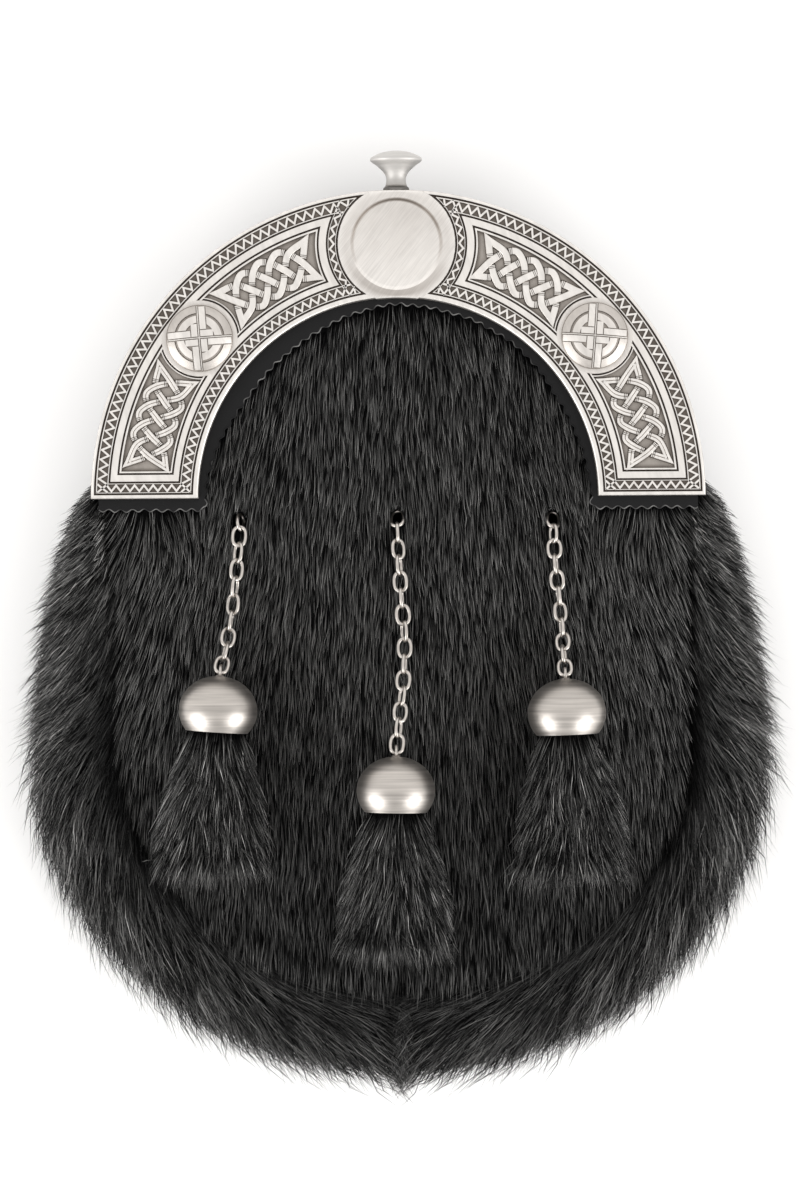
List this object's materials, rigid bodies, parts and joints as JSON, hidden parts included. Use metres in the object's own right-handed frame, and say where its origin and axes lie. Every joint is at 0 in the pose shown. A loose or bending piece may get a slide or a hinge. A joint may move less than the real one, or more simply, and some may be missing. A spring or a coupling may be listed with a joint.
{
  "type": "sporran pouch",
  "caption": "Dress sporran lying on its back: fur pouch with a cast half-ring cantle of knotwork, a clasp knob, and chain tassels with domed caps.",
  "frame": {"origin": "centre of the box's underside, on the surface that the pouch lies on", "axes": "+X to the right of the front, +Y up the pouch to the clasp knob, +Z out of the front"},
  "size_m": [0.179, 0.2266, 0.0555],
  "materials": {
    "cast_metal": "antiqued cast metal, bright high faces and dark recesses",
    "polished_metal": "bright plated",
    "bell_metal": "brushed antique",
    "fur": "glossy black fur",
    "leather": "smooth black leather"
  },
  "bodies": {
    "root": {"cantle": "cast_metal", "clasp_knob": "polished_metal", "leather_backing": "leather", "front_panel": "fur", "gusset": "fur", "back_panel": "leather", "strap_keeper": "leather", "chain_left": "polished_metal", "chain_middle": "polished_metal", "chain_right": "polished_metal", "bell_left": "bell_metal", "bell_middle": "bell_metal", "bell_right": "bell_metal", "tassel_left": "fur", "tassel_middle": "fur", "tassel_right": "fur"}
  },
  "joints": []
}
